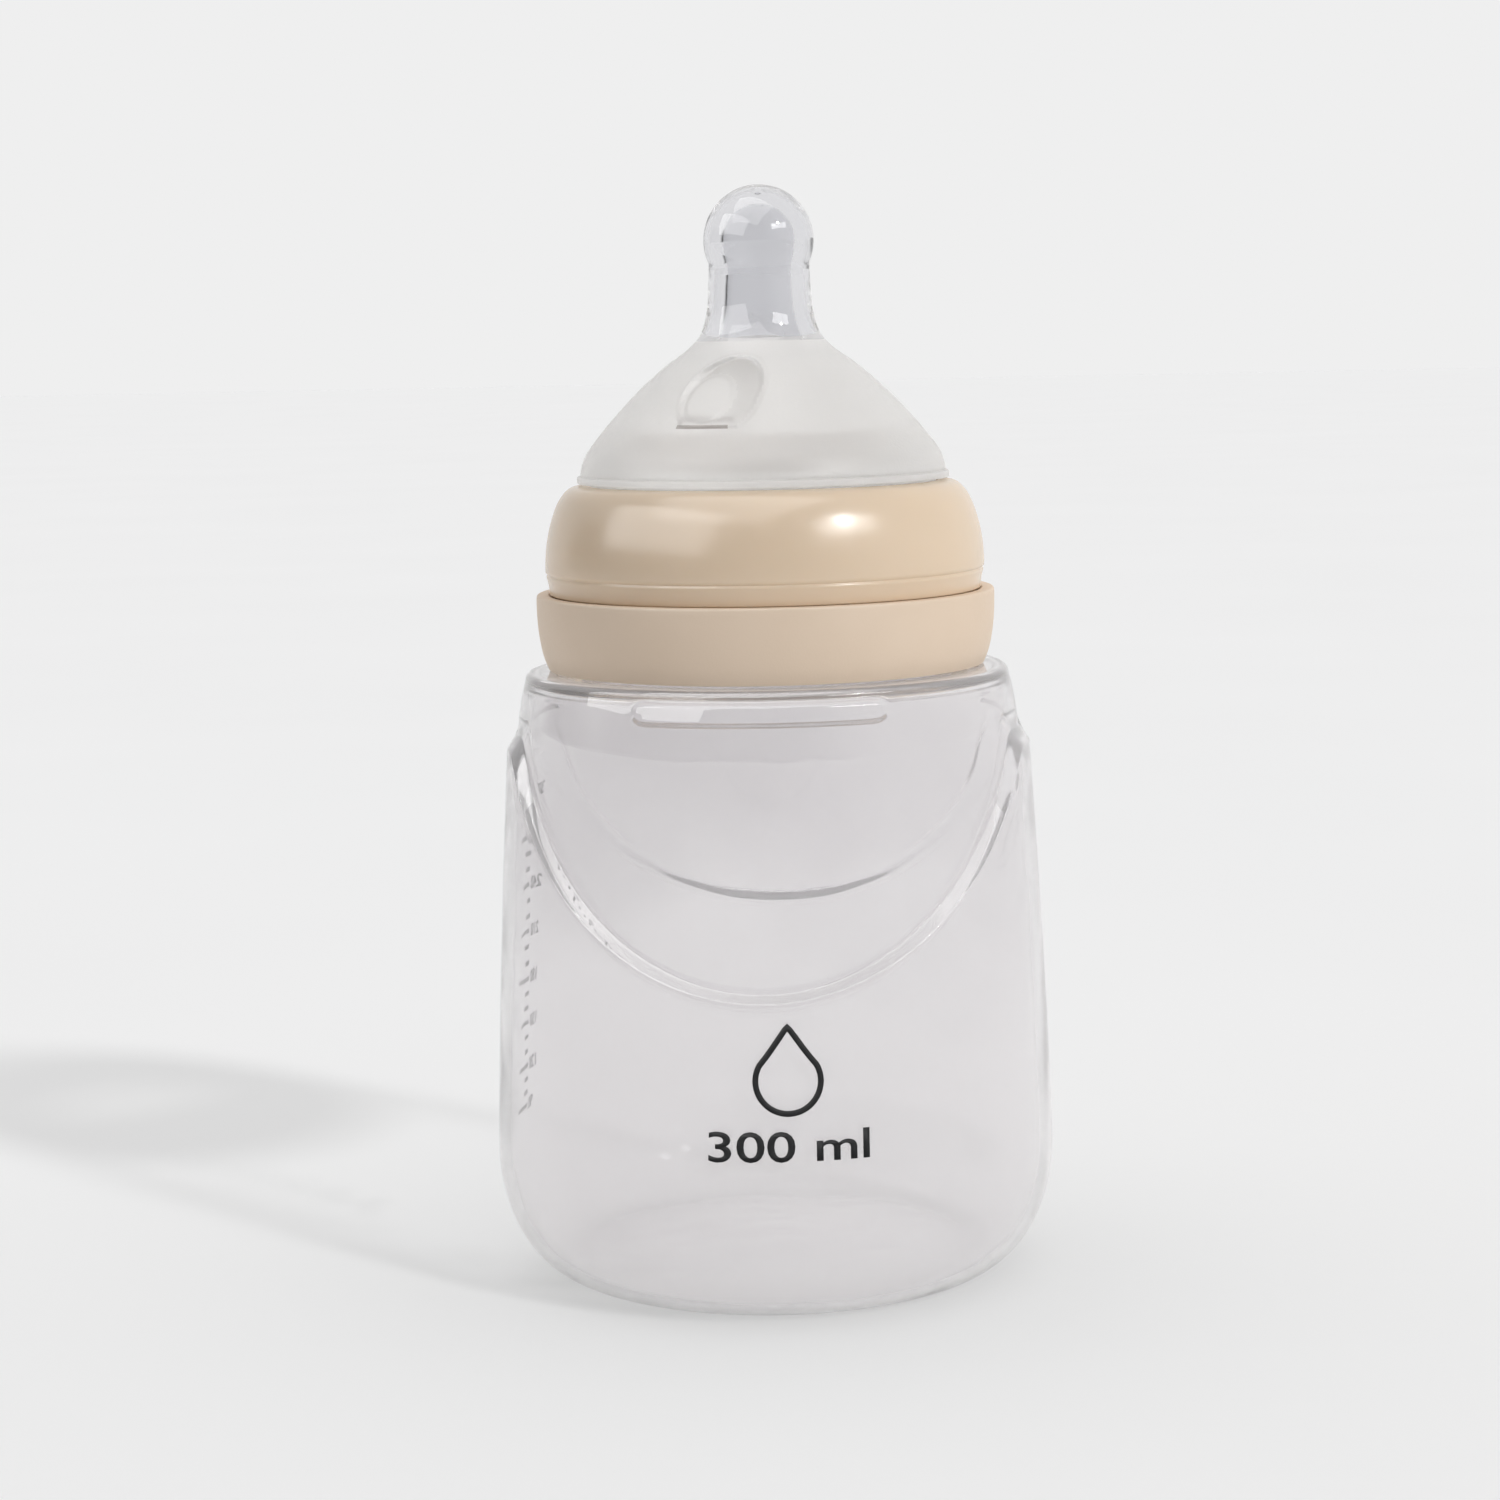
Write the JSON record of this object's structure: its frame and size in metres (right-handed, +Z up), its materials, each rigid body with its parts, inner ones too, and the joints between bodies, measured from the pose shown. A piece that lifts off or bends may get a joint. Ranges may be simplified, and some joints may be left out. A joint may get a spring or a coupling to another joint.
{
  "type": "baby bottle",
  "caption": "Wide-neck baby bottle with a clear scooped body, a silicone nipple and a screw collar that carries a grip band.",
  "frame": {"origin": "middle of the bottle's foot, on the surface it stands on", "axes": "+Z up along the bottle's axis; -Y is the front, the scooped side that the nipple's vent valve is near; the measuring scale is on the -X side"},
  "size_m": [0.0806, 0.0806, 0.1552],
  "materials": {
    "bottle_clear": "clear, glossy",
    "nipple_silicone": "clear ball and stem, frosted dome",
    "collar_gloss": "glossy",
    "band_matt": "matt"
  },
  "bodies": {
    "bottle": {"bottle_body": "bottle_clear"},
    "teat": {"nipple": "nipple_silicone"},
    "ring": {"screw_collar": "collar_gloss", "grip_band": "band_matt"}
  },
  "joints": [
    {"name": "collar_rise", "type": "slide", "parent": "bottle", "child": "teat", "axis": [0, 0, 1], "range_m": [0, 0.0063]},
    {"name": "collar_turn", "type": "hinge", "parent": "teat", "child": "ring", "pos_m": [0, 0, 0.1], "axis": [0, 0, 1], "range_deg": [0, 450]}
  ],
  "couplings": [
    {"joint": "collar_rise", "follows": "collar_turn", "m_per_rad": 0.00079577}
  ]
}
